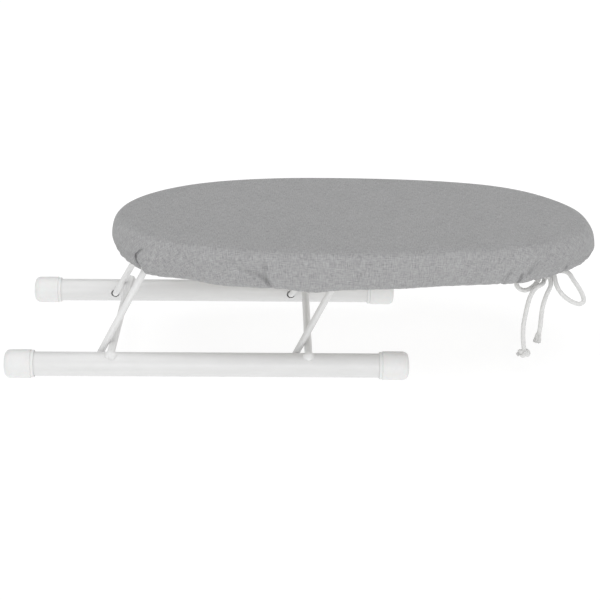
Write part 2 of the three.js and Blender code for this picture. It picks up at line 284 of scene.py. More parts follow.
class Finish:
    """A procedural material: its shader, set by socket name, and a short way to add nodes.

    Noise scales are in repeats per metre and bump distances in metres.
    """

    def __init__(self, name, **sockets):
        self.material = bpy.data.materials.new(name)
        self.material.use_nodes = True
        self.nodes, self.links = self.material.node_tree.nodes, self.material.node_tree.links
        self.shader = self.nodes["Principled BSDF"]
        for socket, value in sockets.items():
            self.shader.inputs[socket.replace("_", " ")].default_value = value

    def add(self, kind, inputs=None, **settings):
        made = self.nodes.new(f"ShaderNode{kind}")
        for key, value in settings.items():
            setattr(made, key, value)
        for key, value in (inputs or {}).items():
            if isinstance(value, bpy.types.NodeSocket):
                self.links.new(value, made.inputs[key])
            else:
                made.inputs[key].default_value = value
        return made

    def place(self, scale=(1, 1, 1), uv=None):
        """Object coordinates, or a named UV map, stretched by scale."""
        if uv:
            where = self.add("UVMap", uv_map=uv).outputs["UV"]
        else:
            where = self.add("TexCoord").outputs["Object"]
        return self.add("Mapping", {"Vector": where, "Scale": scale}).outputs["Vector"]

    def noise(self, scale, detail=3.0, roughness=0.55, where=None):
        inputs = {"Vector": where or self.place(), "Scale": scale, "Detail": detail, "Roughness": roughness}
        return self.add("TexNoise", inputs).outputs["Fac"]

    def spread(self, value, span=NOISE_SPAN, over=(0.0, 1.0)):
        """Stretches one span of values over another."""
        ends = dict(zip(RANGE_SOCKETS, (*span, *over)))
        return self.add("MapRange", {"Value": value, **ends}).outputs["Result"]

    def math(self, operation, a, b=0.0):
        return self.add("Math", {0: a, 1: b}, operation=operation).outputs["Value"]

    def mix(self, share, a, b, blend="MIX"):
        """Mixes two colours, on the sockets that the node has for them."""
        inputs = {"Factor": share, 6: rgba(a), 7: rgba(b)}
        return self.add("Mix", inputs, data_type="RGBA", blend_type=blend).outputs[2]

    def colour(self, value):
        self.links.new(value, self.shader.inputs["Base Color"])

    def rough(self, value):
        self.links.new(value, self.shader.inputs["Roughness"])

    def bump(self, height, distance, strength=1.0):
        made = self.add("Bump", {"Height": height, "Distance": distance, "Strength": strength})
        self.links.new(made.outputs["Normal"], self.shader.inputs["Normal"])


def heather_weave():
    """Plain weave of light and dark grey yarns, with slubs along both directions of the cloth."""
    f = Finish("heather_weave", Roughness=0.92, Sheen_Weight=0.18, Sheen_Roughness=0.45,
               Specular_IOR_Level=0.2)
    cloth = f.place(uv="cloth")

    def both_ways(streaks):
        """Noise in streaks along the cloth and across it, apart and added up."""
        ways = [f.noise(1.0, 2.0, where=f.place((*way, 1), uv="cloth")) for way in (streaks, streaks[::-1])]
        return ways, f.math("ADD", *(f.spread(way, over=(-0.5, 0.5)) for way in ways))

    _, yarns = both_ways(YARN_STREAKS)
    (slub, _), slubs = both_ways(SLUB_STREAKS)
    cloud = f.noise(26.0, 4.0, where=cloth)
    tone = f.math("ADD", f.math("MULTIPLY", yarns, 0.5), f.math("MULTIPLY", slubs, 0.42))
    tone = f.math("ADD", tone, f.spread(cloud, over=(-0.06, 0.06)))
    f.colour(f.mix(f.spread(tone, (-TONE_SPREAD, TONE_SPREAD)), CLOTH_DARK, CLOTH_LIGHT))
    f.rough(f.spread(slub, over=(0.86, 0.97)))
    along, across = f.add("SeparateXYZ", {"Vector": cloth}).outputs[:2]
    over, under = (f.math("SINE", f.math("MULTIPLY", way, math.pi / YARN_PITCH)) for way in (along, across))
    weave = f.math("MULTIPLY", over, under)
    height = f.math("ADD", f.math("MULTIPLY", weave, 0.4), f.math("MULTIPLY", slubs, 0.7))
    f.bump(height, 0.00022, 0.85)
    return f.material


def powder_coat(name, tone, roughness):
    """Baked white powder coat: an even skin with a fine orange peel and faint handling marks."""
    f = Finish(name, Roughness=roughness, Coat_Weight=0.12, Coat_Roughness=0.25)
    peel = f.noise(620.0, 2.0)
    fine = f.noise(2400.0, 2.0)
    wear = f.noise(38.0, 6.0, 0.7, f.place((1, 3, 3)))
    f.colour(f.mix(f.spread(wear, (0.35, 0.75)), tone, darker(tone, 0.955)))
    f.rough(f.spread(wear, (0.3, 0.8), (roughness - 0.05, roughness + 0.1)))
    f.bump(f.math("ADD", peel, f.math("MULTIPLY", fine, 0.3)), 0.00009, 0.55)
    return f.material


def moulded_plastic():
    """Injection-moulded white plastic with a fine satin texture, a little scuffed."""
    f = Finish("cap_plastic", Roughness=0.46, Subsurface_Weight=0.06, Subsurface_Scale=0.004)
    grain = f.noise(1500.0, 3.0)
    scuff = f.noise(70.0, 7.0, 0.72, f.place((2, 1, 1)))
    f.colour(f.mix(f.spread(scuff, (0.45, 0.8)), PLASTIC, darker(PLASTIC, 0.95)))
    f.rough(f.spread(scuff, (0.3, 0.75), (0.4, 0.56)))
    f.bump(f.math("ADD", grain, f.math("MULTIPLY", scuff, 0.5)), 0.00006, 0.6)
    return f.material


def zinc_plate():
    """Zinc-plated steel, faintly brushed and clouded."""
    f = Finish("zinc_plate", Metallic=0.9, Roughness=0.34)
    brush = f.noise(190.0, where=f.place((18, 1, 18)))
    cloud = f.noise(120.0, 5.0)
    f.colour(f.mix(f.spread(cloud), ZINC_DULL, ZINC_BRIGHT))
    f.rough(f.spread(brush, over=(0.26, 0.46)))
    f.bump(brush, 0.00005, 0.5)
    return f.material


def fibreboard():
    """Pale primed fibreboard: pressed fibres and small chips that show through a thin primer."""
    f = Finish("primed_fibreboard", Roughness=0.82)
    fibre = f.noise(420.0, 5.0, 0.7, f.place((1, 2.2, 1)))
    chips = f.add("TexVoronoi", {"Vector": f.place((1, 1.7, 1)), "Scale": 260.0}).outputs["Color"]
    cloud = f.noise(22.0, 4.0)
    ground = f.mix(f.spread(fibre), BOARD_DARK, BOARD_LIGHT)
    flecked = f.mix(0.14, ground, chips, blend="OVERLAY")
    f.colour(f.mix(f.spread(cloud, (0.3, 0.75), (0.0, 0.4)), flecked, BOARD_STAIN))
    f.rough(f.spread(fibre, over=(0.74, 0.9)))
    f.bump(fibre, 0.00025, 0.6)
    return f.material


def needled_felt():
    """Off-white needled felt with loose crossing fibres."""
    f = Finish("needled_felt", Roughness=0.97, Sheen_Weight=0.3)
    fibres = f.math("ADD", *(f.noise(300.0, 4.0, where=f.place(way)) for way in ((1, 7, 3), (7, 1, 3))))
    f.colour(f.mix(f.spread(fibres, (0.7, 1.3)), FELT_DARK, FELT_LIGHT))
    f.bump(fibres, 0.0006, 0.8)
    return f.material


def cotton_cord():
    """White braided cotton: the plaits are in the mesh, and fine fibres run along each one."""
    f = Finish("braided_cotton", Roughness=0.9, Sheen_Weight=0.22, Specular_IOR_Level=0.2)
    fibres = f.noise(1900.0, 4.0, 0.7)
    soft = f.noise(240.0, 3.0)
    f.colour(f.mix(f.spread(f.math("ADD", fibres, soft), (0.75, 1.3)), darker(COTTON, 0.86), COTTON))
    f.rough(f.spread(fibres, over=(0.82, 0.97)))
    f.bump(fibres, 0.0002, 0.8)
    return f.material


weave = heather_weave()
tube_coat = powder_coat("tube_powder_coat", TUBE_WHITE, TUBE_ROUGHNESS)
wire_coat = powder_coat("wire_powder_coat", WIRE_WHITE, WIRE_ROUGHNESS)
plastic = moulded_plastic()
zinc = zinc_plate()
board_stuff = fibreboard()
felt = needled_felt()
cotton = cotton_cord()

# ---------- The oval of the board ----------
cover_low, cover_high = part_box("cover")
WIDEST_X = 0.0255
# Each end of the oval: its reach from the widest place, and the power of its curve (2 is an ellipse).
HEEL = (WIDEST_X - cover_low.x, 2.2)
NOSE = (cover_high.x - WIDEST_X, 2.4)
HALF_WIDTH = cover_high.y
TOP_Z = cover_high.z
# The skirt is eased outwards where it passes the left legs.
LEG_BULGE_X, LEG_BULGE_WIDTH = -0.164, 0.022
# The top is rolled down at its two ends, which leaves them softer than the sides.
HEEL_ROLL, NOSE_ROLL, ROLL_REACH, ROLL_SPAN = 0.003, 0.0095, 0.014, (0.3, 0.95)
# Points on the oval before they are spaced out, and the turn that keeps them off its four corners.
DENSE_POINTS, OFF_CORNERS = 40000, 1e-5


def end_shape(side):
    """Reach and power of the oval's end for each value: the heel's where it's negative."""
    return (np.where(side < 0, heel, nose) for heel, nose in zip(HEEL, NOSE))


def oval(angle):
    """Points on the oval, by the angle of its formula."""
    c, s = np.cos(angle), np.sin(angle)
    length, power = end_shape(c)
    x = WIDEST_X + length * np.sign(c) * np.abs(c) ** (2 / power)
    return np.stack([x, HALF_WIDTH * np.sign(s) * np.abs(s) ** (2 / power)], axis=-1)


def rim(step, fine_places=(), fine_step=None):
    """Points round the oval, their outward normals, the distance walked to each, and the whole way round.

    They are one step apart, and as close as fine_step at the fine places (x, side, reach).
    """
    dense = oval(np.linspace(0, 2 * math.pi, DENSE_POINTS + 1)[:-1] + OFF_CORNERS)
    lengths = np.linalg.norm(np.roll(dense, -1, 0) - dense, axis=1)
    density = np.full(len(dense), 1 / step)
    for x, side, reach in fine_places:
        near = np.exp(-(((dense[:, 0] - x) / reach) ** 2)) * (dense[:, 1] * side > 0)
        density = np.maximum(density, near / fine_step)
    amount = np.concatenate([[0], np.cumsum(lengths * density)])
    count = int(round(amount[-1]))
    at = np.interp(np.arange(count) * amount[-1] / count, amount, np.arange(len(amount)))
    closed = np.vstack([dense, dense[:1]])
    points = np.stack([np.interp(at, np.arange(len(closed)), closed[:, k]) for k in (0, 1)], axis=1)
    ahead = oval_tangent(points)
    normals = np.stack([ahead[:, 1], -ahead[:, 0]], axis=1)
    walked = np.interp(at, np.arange(len(amount)), np.concatenate([[0], np.cumsum(lengths)]))
    return points, normals, walked, float(lengths.sum())


def oval_tangent(points):
    """Directions round the oval, from the slope of its own formula."""
    dx = points[:, 0] - WIDEST_X
    length, power = end_shape(dx)
    gx = np.sign(dx) * (np.abs(dx) / length) ** (power - 1) / length
    gy = np.sign(points[:, 1]) * (np.abs(points[:, 1]) / HALF_WIDTH) ** (power - 1) / HALF_WIDTH
    return unit(np.stack([-gy, gx], axis=1))


def bulge(x):
    """How much of the leg's bulge there is at each x."""
    return np.exp(-(((x - LEG_BULGE_X) / LEG_BULGE_WIDTH) ** 2))


def rolled(normals):
    """How far the rim is rolled down where it has these outward normals."""
    along = normals[:, 0]
    return np.where(along < 0, HEEL_ROLL, NOSE_ROLL) * ramp(np.abs(along), *ROLL_SPAN)


# ---------- Drawstring and its bow ----------
CORD_D = 0.0047
CORD_STEP = 0.0004
CORD_SIDES = 32
BRAID_PITCH, BRAID_PLAITS, BRAID_HEIGHT, BRAID_SUNK = 0.0052, 4, 0.00016, 0.00006
# The gap along X in the hem's casing, at the front, and the drawstring's place in the casing.
HEM_GAP = (0.232, 0.268)
HEM_INSET, HEM_Z, HEM_EASE = 0.0082, 0.111, 0.0069
HEM_STEP, HEM_CORD_STEP, HEM_CORD_SIDES = 0.002, 0.0012, 16


def braid(along, angle):
    """Height of the plaits of a braided cord: lumps in a diamond pattern, and thin furrows between."""
    a = BRAID_PLAITS * angle + along * 2 * math.pi / BRAID_PITCH
    b = BRAID_PLAITS * angle - along * 2 * math.pi / BRAID_PITCH
    plait = np.maximum(np.cos(a) * (np.cos(b / 2) ** 2), np.cos(b) * (np.sin(a / 2) ** 2))
    return BRAID_HEIGHT * plait - BRAID_SUNK


def hem_line():
    """The drawstring's way round inside the hem, from one side of the gap to the other."""
    points, normals, _, _ = rim(HEM_STEP)
    in_gap = (points[:, 1] < 0) & (points[:, 0] > HEM_GAP[0]) & (points[:, 0] < HEM_GAP[1])
    first = int(np.flatnonzero(in_gap & ~np.roll(in_gap, -1))[0]) + 1
    order = np.roll(np.arange(len(points)), -first)
    order = order[~in_gap[order]]
    inset = HEM_INSET - HEM_EASE * bulge(points[:, 0])
    line = points - normals * inset[:, None]
    return np.column_stack([line, np.full(len(line), HEM_Z)])[order]


hem_route = hem_line()
hem_left_end, hem_right_end = hem_route[-1], hem_route[0]

LEFT_LEAD = [(0.238, -0.0955, 0.1122), (0.2425, -0.0865, 0.1122), (0.2439, -0.080, 0.1098)]
RIGHT_LEAD = [(0.2625, -0.0795, 0.1123), (0.2578, -0.0793, 0.1118), (0.2542, -0.0797, 0.1098)]
LEFT_LOOP = [(0.2419, -0.0812, 0.1029), (0.2392, -0.0846, 0.0998), (0.235, -0.0882, 0.0952),
             (0.2295, -0.091, 0.0918), (0.2235, -0.0923, 0.0906), (0.2178, -0.092, 0.0932),
             (0.2156, -0.0895, 0.098), (0.2185, -0.086, 0.1024), (0.226, -0.0815, 0.1043),
             (0.235, -0.077, 0.1054), (0.2412, -0.0751, 0.1064)]
RIGHT_LOOP = [(0.2561, -0.0809, 0.102), (0.2574, -0.0848, 0.096), (0.2605, -0.088, 0.0895),
              (0.2665, -0.090, 0.083), (0.2755, -0.0895, 0.077), (0.283, -0.088, 0.0745),
              (0.2872, -0.086, 0.077), (0.286, -0.0845, 0.083), (0.2814, -0.0825, 0.091),
              (0.2764, -0.0792, 0.0976), (0.2722, -0.0754, 0.1032), (0.2666, -0.0730, 0.1050),
              (0.2608, -0.0734, 0.1052), (0.2569, -0.0751, 0.106)]
LEFT_TAIL = [(0.246, -0.0802, 0.098), (0.2436, -0.087, 0.0963), (0.2398, -0.094, 0.097),
             (0.235, -0.0982, 0.0956), (0.231, -0.0995, 0.0905), (0.228, -0.0995, 0.0818),
             (0.2256, -0.0992, 0.067), (0.2243, -0.0985, 0.0525), (0.225, -0.098, 0.0385),
             (0.2265, -0.098, 0.0288)]
RIGHT_TAIL = [(0.2525, -0.0796, 0.098), (0.2522, -0.0835, 0.0923), (0.2482, -0.0875, 0.0845),
              (0.2448, -0.090, 0.074), (0.2436, -0.0905, 0.0625), (0.2432, -0.0905, 0.050),
              (0.2423, -0.0905, 0.043)]
# Inside the knot: from the lead to the loop on the far side, and from that loop down to the tail.
LEFT_PASS = [[(0.2485, -0.0765, 0.1075), (0.2535, -0.0775, 0.1046)],
             [(0.251, -0.0753, 0.1063), (0.2474, -0.0764, 0.1022)]]
RIGHT_PASS = [[(0.2485, -0.0798, 0.107)], [(0.2475, -0.0748, 0.1062), (0.252, -0.0762, 0.1028)]]
# The last point of each tail, inside its knot or its tuft.
LEFT_LAST, RIGHT_LAST = (0.2268, -0.098, 0.0255), (0.2421, -0.0905, 0.0412)


def cord_piece(name, points, faces, replaced):
    return mesh_object(name, points, faces, "board", "cotton_cord", cotton, replaced)


def cord_end(name, start, lead, passes, loop, tail, last, replaced):
    """One end of the drawstring: out of the hem, through the knot, round its loop, and down its tail."""
    route = [start, *lead, *passes[0], *loop, *passes[1], *tail, last]
    line = smooth_line(route, CORD_STEP)
    piece = cord_piece(name, *tube(line, CORD_D / 2, CORD_SIDES, braid), replaced)
    return piece, line, float(walk(line)[-1])


left_end = cord_end("drawstring_left_end", hem_left_end, LEFT_LEAD, LEFT_PASS, RIGHT_LOOP, LEFT_TAIL,
                    LEFT_LAST, ["bow_left_lead", "bow_right_loop", "bow_left_tail"])
right_end = cord_end("drawstring_right_end", hem_right_end, RIGHT_LEAD, RIGHT_PASS, LEFT_LOOP, RIGHT_TAIL,
                     RIGHT_LAST, ["bow_right_lead", "bow_left_loop", "bow_right_tail"])

# The bow's knot: its middle, and the turns, width and sway of its band.
KNOT_AT, KNOT_TURNS, KNOT_WIDTH, KNOT_SWAY = (0.249, -0.0775, 0.1045), (-0.175, 2.1), 0.0062, 0.0006
# The band's ends are tucked in to the inner radius; elsewhere it stands out by the rise.
KNOT_INNER, KNOT_RISE, KNOT_DEPTH, KNOT_HEIGHT = 0.0010, 0.0027, 0.92, 1.12
# The cords are drawn a little thinner in the bow's knot, and thicker in the tail's.
KNOT_THIN, TAIL_KNOT_THICK = 0.98, 1.12
TAIL_KNOT_AT, TAIL_KNOT_SIZE = (0.2269, -0.098, 0.0236), (0.00155, 0.00125, 0.00125)
# Loose strands at the two cut ends; the spread is their circle's radius at the cut and at their tips.
KNOT_FRAY = dict(count=46, top=(0.2222, -0.0985, 0.0238), along=(-0.75, -0.2, -0.4), length=0.0036,
                 spread=(0.0012, 0.0022), radius=0.0002)
TUFT_FRAY = dict(count=380, top=(0.24225, -0.0905, 0.0436), along=(-0.14, 0, -1), length=0.0108,
                 spread=(0.0020, 0.0038), radius=0.00034)
STRAND_POINTS, STRAND_SIDES, STRAND_WOBBLE = 7, 5, 0.0004


def bow_knot():
    """The band of cord that goes twice round the two loops where they cross."""
    turns = np.linspace(KNOT_TURNS[0] * 2 * math.pi, KNOT_TURNS[1] * 2 * math.pi, 160)
    share = (turns - turns[0]) / (turns[-1] - turns[0])
    ends = np.minimum(ramp(share, 0, 0.07), ramp(share, 1, 0.93))
    reach = KNOT_INNER + KNOT_RISE * ends
    local = np.stack([(share - 0.5) * KNOT_WIDTH + KNOT_SWAY * np.sin(turns),
                      reach * np.cos(turns) * KNOT_DEPTH, reach * np.sin(turns) * KNOT_HEIGHT], axis=1)
    tilt = np.array(Matrix.Rotation(math.radians(14), 3, "Y") @ Matrix.Rotation(math.radians(-10), 3, "Z"))
    line = evenly(local @ tilt.T + np.array(KNOT_AT), CORD_STEP)
    return cord_piece("bow_knot_band", *tube(line, CORD_D / 2 * KNOT_THIN, CORD_SIDES, braid), ["bow_knot"])


def fibres(rng, count, top, along, length, spread, radius):
    """Loose strands that flare from a cut end at the top, along a direction."""
    along = unit(np.array(along, float))
    side = unit(np.cross(along, (0.2, 1, 0.1)))
    other = np.cross(along, side)
    strands = []
    for _ in range(count):
        turn, out = rng.uniform(0, 2 * math.pi), math.sqrt(rng.uniform(0, 1))
        across = side * math.cos(turn) + other * math.sin(turn)
        wobble = side * rng.normal(0, STRAND_WOBBLE) + other * rng.normal(0, STRAND_WOBBLE)
        long = length * rng.uniform(0.86, 1.04)
        t = np.linspace(0, 1, STRAND_POINTS)[:, None]
        flare = spread[0] + (spread[1] - spread[0]) * t**0.8
        line = np.array(top) + along * long * t + across * out * flare
        line = line + wobble * np.sin(t * math.pi * rng.uniform(0.8, 2.0))
        strands.append(tube(line, np.linspace(radius, radius * 0.6, STRAND_POINTS), STRAND_SIDES))
    return together(strands)


def tail_knot():
    """An overhand knot that stops the left tail, drawn down small, with a short frayed end."""
    # A trefoil, started a little round from its own start and cut open by leaving out its last points.
    t = np.linspace(0, 2 * math.pi, 240, endpoint=False)
    trefoil = [np.sin(t) + 2 * np.sin(2 * t), np.cos(t) - 2 * np.cos(2 * t), -1.15 * np.sin(3 * t)]
    open_trefoil = np.roll(np.stack(trefoil, axis=1), 30, axis=0)[:232]
    line = evenly(open_trefoil * TAIL_KNOT_SIZE + np.array(TAIL_KNOT_AT), CORD_STEP)
    knot = tube(line, CORD_D / 2 * TAIL_KNOT_THICK, CORD_SIDES, braid)
    frayed = fibres(np.random.default_rng(11), **KNOT_FRAY)
    return cord_piece("tail_end_knot", *together([knot, frayed]), ["left_tail_knot"])


def tail_tuft():
    """The cut end of the right tail, frayed into loose strands."""
    return cord_piece("tail_end_tuft", *fibres(np.random.default_rng(7), **TUFT_FRAY), ["right_tail_tuft"])


knot_band, end_knot, end_tuft = bow_knot(), tail_knot(), tail_tuft()
# Each piece of the drawstring and its bow gets a mesh of its own.
for piece in (left_end[0], right_end[0], knot_band, end_knot, end_tuft):
    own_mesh(piece)

hem_tube = tube(evenly(hem_route, HEM_CORD_STEP), CORD_D / 2, HEM_CORD_SIDES)
hem_cord = cord_piece("hem_drawstring_cord", *hem_tube, ["hem_drawstring"])

# ---------- Cover ----------
COVER_THICKNESS = 0.0011
# Steps between the cloth's points: round the rim, round it at the folds, and down the section.
RIM_STEP, FOLD_STEP, SECTION_STEP = 0.00185, 0.0009, 0.0013
# Where the rim has the finer step: x, side and reach.
FOLD_PLACES = [(-0.17, -1, 0.022), (-0.045, -1, 0.03), (0.216, -1, 0.025), (0.266, -1, 0.012),
               (-0.163, 1, 0.02), (0.24, 1, 0.016)]
# Inset from the oval, drop from the top, and how far the legs ease the cloth outwards.
SECTION = mm([(30, 0, 0), (22, 0, 0), (16, 0.05, 0), (9, 0.7, 0), (5, 2.8, 0), (2, 6.5, 0.5),
              (0.4, 13, 2.5), (0, 21, 5), (0.5, 30, 5.5), (2.4, 35.4, 6), (6.3, 38.2, 7.5),
              (10.2, 38.5, 9.5), (13, 36.6, 10.2), (13.3, 33.6, 10.4), (11.3, 31.3, 10.2),
              (8.4, 31.0, 9.2), (6.1, 32.7, 8.2), (5.9, 35.4, 8), (7.7, 37.1, 8.6)])
# The section's first point in the casing, its lowest drop, and the drops where the skirt's height varies.
CASING_FROM, LOWEST_DROP, SKIRT_DROPS = 12, 0.0385, (0.013, 0.036)
# At the gap the hem has no casing, and its end lies flat on the lip. The gap's sides blend over distances
# outside and inside it.
GAP_BLEND = (0.002, 0.004)
OPEN_HEM = mm([(11.6, 37.3, 10), (10.6, 37.0, 9.8), (9.8, 36.9, 9.5), (9.2, 36.8, 9.2), (8.6, 36.7, 9),
               (8.0, 36.6, 8.8), (7.5, 36.6, 8.6)])
# Height of the skirt's lower edge along the front and the rear of the board.
FRONT_EDGE = mm([(-215, 112), (-194, 111.5), (-171, 108), (-148, 106), (-118, 107), (-87, 105), (-58, 106.2),
                 (-27, 106.3), (-6, 104.2), (12, 103.6), (32, 105.8), (72, 106.8), (120, 108.2), (160, 108.3),
                 (194, 107), (232, 105.5), (260, 107.5), (284, 109.6), (308, 110.5)])
REAR_EDGE = mm([(-215, 112), (-185, 109), (-140, 106.5), (-95, 108), (-50, 105.6), (-5, 107.2), (45, 105.2),
                (95, 107.6), (150, 106.4), (200, 109), (250, 108), (285, 111), (308, 112)])
# Creases of the front skirt: points down each one (x, drop), its depth and width, and the fullness of the
# cloth on its nose side and its heel side, all in millimetres.
CREASES = [
    ([(-159.5, 9), (-166.5, 14.5), (-170, 21), (-168.8, 27), (-165, 34), (-163.5, 39)], 7.0, 1.5, 2.8, -0.8),
    ([(-43.5, 3), (-42.5, 11), (-41, 26), (-34, 39)], 2.3, 1.5, 1.5, 0.3),
    ([(-82, 16), (-66, 19.5), (-52, 20.5), (-42, 27), (-37, 35)], 2.1, 1.6, 0.4, 1.1),
    ([(-92, 9), (-78, 12.5), (-64, 16)], 0.9, 2.2, 0.2, 0.4),
    ([(-60, 27), (-48, 31), (-38, 38)], 1.3, 1.7, 0.3, 0.5),
    ([(234, 14), (229, 20), (223, 28)], 2.2, 1.5, 0.8, 0.2),
    ([(219, 24), (215.5, 30), (213, 39)], 4.2, 1.4, 1.2, 0.5),
    ([(208, 19), (202, 28), (197, 38)], 2.4, 1.5, 0.9, 0.2),
    ([(269, 24), (266, 31), (262, 39)], 2.6, 1.6, 0.7, 0.4),
    ([(118, 28), (112, 39)], 0.6, 3.0, 0.3, 0.1),
    ([(-120, 26), (-112, 39)], 0.7, 2.6, 0.4, 0.1),
    ([(30, 24), (21, 39)], 0.7, 3.0, 0.4, 0.2),
]
REAR_CREASES = [
    ([(-158, 12), (-166, 22), (-163, 39)], 2.6, 2.0, 1.8, 0.2),
    ([(-78, 14), (-70, 28), (-72, 39)], 1.6, 2.2, 0.9, 0.3),
    ([(20, 20), (14, 39)], 1.0, 2.6, 0.4, 0.4),
    ([(92, 10), (86, 26), (90, 39)], 1.7, 2.2, 0.8, 0.4),
    ([(176, 16), (184, 28), (180, 39)], 1.9, 2.0, 0.6, 0.8),
    ([(236, 18), (243, 30), (240, 39)], 2.2, 1.9, 0.8, 0.8),
]
CREASE_STEP, EDGE_STEP = 0.0012, 0.002
# A crease deepens over its first part, fades out past its ends, and is wider on its heel side. Beside it the
# cloth is full, from a few of its widths away out to a reach.
CREASE_START, CREASE_ENDS, HEEL_SIDE_WIDER, FULL_FROM, FULL_REACH = 0.45, (0.04, 0.018), 1.35, 2.2, 0.013
# How far out along Y the creases and the lower edge take their own side's shape.
CREASE_BLEND, EDGE_BLEND = 0.02, 0.03
# The skirt's waves, broad to fine: the span of their lengths, how many are mixed, their height along the
# sides, and what the tight curves at the ends add.
WAVES = [((0.05, 0.11), 5, 0.0007, 0.0006), ((0.011, 0.021), 8, 0.00022, 0.0008),
         ((0.006, 0.010), 8, 0.0003, 0.0003)]
LOW_DROPS, LOWEST_DROPS = (0.016, 0.038), (0.030, 0.038)
TIGHT_SPAN, NOSE_TIGHT, HEEL_TIGHT = (0.13, 0.26), 0.45, 0.6
# The flat top: its middle, rings and gentle waves, with radians per metre and phase along X and Y.
TOP_MIDDLE, TOP_RINGS, TOP_SOFTNESS, TOP_WAVES = (WIDEST_X + 0.012, 0.0), 33, 0.00016, ((31, 1.3), (37, 0.4))


def crease_relief(x, drop, creases):
    """How deep the creases cut the cloth and how full it stands beside them, at each x and drop."""
    depth_cut, full = np.zeros_like(x), np.zeros_like(x)
    where = np.stack([x, drop], axis=-1)
    for points, depth, width, nose_side, heel_side in creases:
        line = smooth_line(mm(points), CREASE_STEP)
        tangent = unit(np.gradient(line, axis=0))
        nearest = np.full(x.shape, 1.0)
        signed = np.zeros_like(x)
        share = np.zeros_like(x)
        for i, (p, t) in enumerate(zip(line, tangent)):
            away = where - p
            far = np.hypot(away[..., 0], away[..., 1])
            closer = far < nearest
            nearest = np.where(closer, far, nearest)
            signed = np.where(closer, np.sign(away[..., 0] * t[1] - away[..., 1] * t[0]) * far, signed)
            share = np.where(closer, i / (len(line) - 1), share)
        fade = ramp(share, 0, CREASE_START) * ramp(nearest, *CREASE_ENDS)
        reach = np.where(signed > 0, width, width * HEEL_SIDE_WIDER) * MM
        depth_cut += fade * depth * MM * np.exp(-((signed / reach) ** 2))
        out = np.where(signed > 0, nose_side, heel_side) * MM
        beside = np.exp(-((nearest / FULL_REACH) ** 2)) * ramp(nearest, 0, FULL_FROM * width * MM)
        full += fade * out * beside
    return depth_cut, full


def waves(rng, walked, around, lengths, count):
    """Smooth random waves round the oval that join up with themselves."""
    total = np.zeros_like(walked)
    for _ in range(count):
        turns = round(around / rng.uniform(*lengths))
        total += np.cos(2 * math.pi * turns * walked / around + rng.uniform(0, 2 * math.pi))
    return total / math.sqrt(count)


def edge_height(x, y):
    """Height of the skirt's lower edge, smooth from the front list to the rear list."""
    heights = []
    for edge in (FRONT_EDGE, REAR_EDGE):
        line = smooth_line(edge, EDGE_STEP)
        heights.append(np.interp(x, line[:, 0], line[:, 1]))
    share = ramp(y, -EDGE_BLEND, EDGE_BLEND)
    return heights[0] * (1 - share) + heights[1] * share


def hem_profile(x, y):
    """Inset, drop and ease down the section at each place on the rim, the casing left out at the gap."""
    section = smooth_line(SECTION, SECTION_STEP)
    plain = smooth_line(np.vstack([SECTION[:CASING_FROM], OPEN_HEM]), SECTION_STEP)
    plain = evenly(plain, walk(plain)[-1] / (len(section) - 1))[: len(section)]
    start, end = HEM_GAP
    outside, inside = GAP_BLEND
    in_gap = (y < 0) * ramp(x, start - outside, start + inside) * ramp(x, end + outside, end - inside)
    in_gap = in_gap[None, :, None]
    return section, section[:, None, :] * (1 - in_gap) + plain[:, None, :] * in_gap


def gathering(x, drop, walked, around):
    """How far the gathered skirt stands out: broad waves, gathers, and small pleats at the hem."""
    rng = np.random.default_rng(5)
    tight = ramp(np.abs(x - WIDEST_X), *TIGHT_SPAN) * np.where(x > WIDEST_X, NOSE_TIGHT, HEEL_TIGHT)
    low, lowest = ramp(drop, *LOW_DROPS), ramp(drop, *LOWEST_DROPS)
    out = 0
    for (lengths, mixed, height, added), share in zip(WAVES, (low, low**2, lowest)):
        out = out + share * (height + added * tight) * waves(rng, walked, around, lengths, mixed)
    return out


def top_rings(rim_ring, roll):
    """The flat top as rings from its middle out to the section's first row."""
    middle = np.array(TOP_MIDDLE)
    rings = []
    for share in np.linspace(0, 1, TOP_RINGS + 1)[:-1]:
        level = middle * (1 - share) + rim_ring * share
        deep = SECTION[0, 0] + (1 - share) * np.linalg.norm(rim_ring - middle, axis=1)
        rings.append(np.column_stack([level, TOP_Z - roll * np.exp(-deep / ROLL_REACH)]))
    return np.array(rings)


